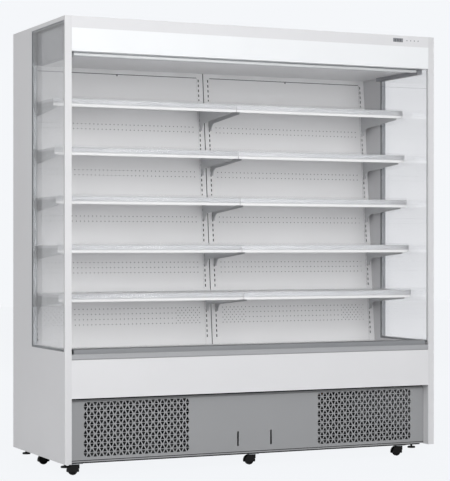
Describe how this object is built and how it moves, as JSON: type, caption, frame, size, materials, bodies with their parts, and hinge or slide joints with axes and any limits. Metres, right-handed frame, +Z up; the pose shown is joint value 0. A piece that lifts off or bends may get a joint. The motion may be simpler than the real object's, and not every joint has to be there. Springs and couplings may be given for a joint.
{
  "type": "open multideck display fridge",
  "caption": "Free-standing open-front display fridge with lit canopy, shelves between glazed side walls, perforated back wall, kick panel with air grilles, on small casters.",
  "frame": {"origin": "on the floor at the middle of the width and the depth", "axes": "+X to the right as seen from the open front, +Y from the open front to the back, +Z up"},
  "size_m": [1.91, 0.75, 2.05],
  "materials": {
    "white_steel": "satin powder coat",
    "side_plastic": "matte moulded side wall",
    "clear_glass": "clear",
    "grey_steel": "satin powder coat",
    "dark_grey_steel": "satin powder coat",
    "grey_plastic": "matte",
    "black_steel": "satin",
    "zinc_steel": "zinc plated",
    "black_plastic": "matte",
    "pale_plastic": "satin",
    "lit_opal": "opal, lit from behind",
    "lamp_white": "lit lamp",
    "dark_plastic": "matte",
    "blind_cloth": "woven, aluminised",
    "satin_aluminium": "anodised",
    "display_plastic": "smoked window",
    "button_plastic": "satin",
    "black_rubber": "matte",
    "fin_aluminium": "mill finish fins",
    "copper": "drawn copper"
  },
  "bodies": {
    "cabinet": {"insulated_body": "white_steel", "front_panel": "white_steel", "canopy_fascia": "white_steel", "ceiling_panel": "white_steel", "blind_cassette": "white_steel", "deck_pans": "white_steel", "back_panels": "white_steel", "shelf_uprights": "white_steel", "shelf_brackets": "white_steel", "side_wall_left": "side_plastic", "side_wall_right": "side_plastic", "side_glass": "clear_glass", "kick_panel": "grey_steel", "return_air_grille": "dark_grey_steel", "bumper_rail": "grey_plastic", "base_frame": "black_steel", "machine_floor": "zinc_steel", "rear_cover": "zinc_steel", "levelling_feet": "black_plastic", "caster_plates": "zinc_steel", "ticket_rails": "pale_plastic", "light_diffuser": "lit_opal", "canopy_lamp": "lamp_white", "canopy_end_caps": "dark_plastic", "air_honeycomb": "pale_plastic", "night_blind_cloth": "blind_cloth", "controller_display": "display_plastic", "evaporator_fan_panel": "zinc_steel", "evaporator_coil": "fin_aluminium", "condenser_coil": "fin_aluminium", "condenser_fan_shroud": "black_steel", "compressor": "black_steel", "refrigerant_pipes": "copper", "drip_tray": "black_plastic", "shelf_1": "white_steel", "shelf_2": "white_steel", "shelf_3": "white_steel", "shelf_4": "white_steel", "shelf_5": "white_steel"},
    "caster_fork_1": {"caster_fork_1": "black_steel"},
    "caster_wheel_1": {"caster_wheel_1": "black_rubber"},
    "caster_fork_2": {"caster_fork_2": "black_steel"},
    "caster_wheel_2": {"caster_wheel_2": "black_rubber"},
    "caster_fork_3": {"caster_fork_3": "black_steel"},
    "caster_wheel_3": {"caster_wheel_3": "black_rubber"},
    "caster_fork_4": {"caster_fork_4": "black_steel"},
    "caster_wheel_4": {"caster_wheel_4": "black_rubber"},
    "caster_fork_5": {"caster_fork_5": "black_steel"},
    "caster_wheel_5": {"caster_wheel_5": "black_rubber"},
    "caster_fork_6": {"caster_fork_6": "black_steel"},
    "caster_wheel_6": {"caster_wheel_6": "black_rubber"},
    "control_button_1": {"control_button_1": "button_plastic"},
    "control_button_2": {"control_button_2": "button_plastic"},
    "control_button_3": {"control_button_3": "button_plastic"},
    "control_button_4": {"control_button_4": "button_plastic"},
    "night_blind_bar": {"night_blind_bar": "satin_aluminium"},
    "night_blind_roller": {"night_blind_roller": "blind_cloth"},
    "evaporator_fan_1": {"evaporator_fan_1": "black_plastic"},
    "evaporator_fan_2": {"evaporator_fan_2": "black_plastic"},
    "condenser_fan": {"condenser_fan": "black_plastic"}
  },
  "joints": [
    {"name": "caster_swivel_1", "type": "hinge", "parent": "cabinet", "child": "caster_fork_1", "pos_m": [-0.877, -0.303, 0.046], "axis": [0, 0, 1], "continuous": true},
    {"name": "caster_spin_1", "type": "hinge", "parent": "caster_fork_1", "child": "caster_wheel_1", "pos_m": [-0.893, -0.303, 0.021], "axis": [0, 1, 0], "continuous": true},
    {"name": "caster_swivel_2", "type": "hinge", "parent": "cabinet", "child": "caster_fork_2", "pos_m": [0, -0.303, 0.046], "axis": [0, 0, 1], "continuous": true},
    {"name": "caster_spin_2", "type": "hinge", "parent": "caster_fork_2", "child": "caster_wheel_2", "pos_m": [-0.016, -0.303, 0.021], "axis": [0, 1, 0], "continuous": true},
    {"name": "caster_swivel_3", "type": "hinge", "parent": "cabinet", "child": "caster_fork_3", "pos_m": [0.8, -0.303, 0.046], "axis": [0, 0, 1], "continuous": true},
    {"name": "caster_spin_3", "type": "hinge", "parent": "caster_fork_3", "child": "caster_wheel_3", "pos_m": [0.784, -0.303, 0.021], "axis": [0, 1, 0], "continuous": true},
    {"name": "caster_swivel_4", "type": "hinge", "parent": "cabinet", "child": "caster_fork_4", "pos_m": [-0.877, 0.105, 0.046], "axis": [0, 0, 1], "continuous": true},
    {"name": "caster_spin_4", "type": "hinge", "parent": "caster_fork_4", "child": "caster_wheel_4", "pos_m": [-0.893, 0.105, 0.021], "axis": [0, 1, 0], "continuous": true},
    {"name": "caster_swivel_5", "type": "hinge", "parent": "cabinet", "child": "caster_fork_5", "pos_m": [0, 0.105, 0.046], "axis": [0, 0, 1], "continuous": true},
    {"name": "caster_spin_5", "type": "hinge", "parent": "caster_fork_5", "child": "caster_wheel_5", "pos_m": [-0.016, 0.105, 0.021], "axis": [0, 1, 0], "continuous": true},
    {"name": "caster_swivel_6", "type": "hinge", "parent": "cabinet", "child": "caster_fork_6", "pos_m": [0.8, 0.105, 0.046], "axis": [0, 0, 1], "continuous": true},
    {"name": "caster_spin_6", "type": "hinge", "parent": "caster_fork_6", "child": "caster_wheel_6", "pos_m": [0.784, 0.105, 0.021], "axis": [0, 1, 0], "continuous": true},
    {"name": "control_button_1_press", "type": "slide", "parent": "cabinet", "child": "control_button_1", "axis": [0, 1, 0], "range_m": [0, 0.0006], "stiffness_N_per_m": 1500, "springref_m": -0.0004},
    {"name": "control_button_2_press", "type": "slide", "parent": "cabinet", "child": "control_button_2", "axis": [0, 1, 0], "range_m": [0, 0.0006], "stiffness_N_per_m": 1500, "springref_m": -0.0004},
    {"name": "control_button_3_press", "type": "slide", "parent": "cabinet", "child": "control_button_3", "axis": [0, 1, 0], "range_m": [0, 0.0006], "stiffness_N_per_m": 1500, "springref_m": -0.0004},
    {"name": "control_button_4_press", "type": "slide", "parent": "cabinet", "child": "control_button_4", "axis": [0, 1, 0], "range_m": [0, 0.0006], "stiffness_N_per_m": 1500, "springref_m": -0.0004},
    {"name": "blind_pull", "type": "slide", "parent": "cabinet", "child": "night_blind_bar", "axis": [0, 0, -1], "range_m": [0, 1.31], "stiffness_N_per_m": 15, "springref_m": -1.1, "deforming": ["night_blind_cloth"]},
    {"name": "blind_roller_turn", "type": "hinge", "parent": "cabinet", "child": "night_blind_roller", "pos_m": [0, -0.283, 1.9265], "axis": [1, 0, 0], "range_deg": [0, 3420]},
    {"name": "evaporator_fan_spin_1", "type": "hinge", "parent": "cabinet", "child": "evaporator_fan_1", "pos_m": [-0.45, -0.179, 0.46525], "axis": [0, 1, 0], "continuous": true},
    {"name": "evaporator_fan_spin_2", "type": "hinge", "parent": "cabinet", "child": "evaporator_fan_2", "pos_m": [0.45, -0.179, 0.46525], "axis": [0, 1, 0], "continuous": true},
    {"name": "condenser_fan_spin", "type": "hinge", "parent": "cabinet", "child": "condenser_fan", "pos_m": [-0.59, -0.232, 0.206], "axis": [0, 1, 0], "continuous": true}
  ],
  "couplings": [
    {"joint": "blind_roller_turn", "follows": "blind_pull", "rad_per_m": 45.455}
  ]
}
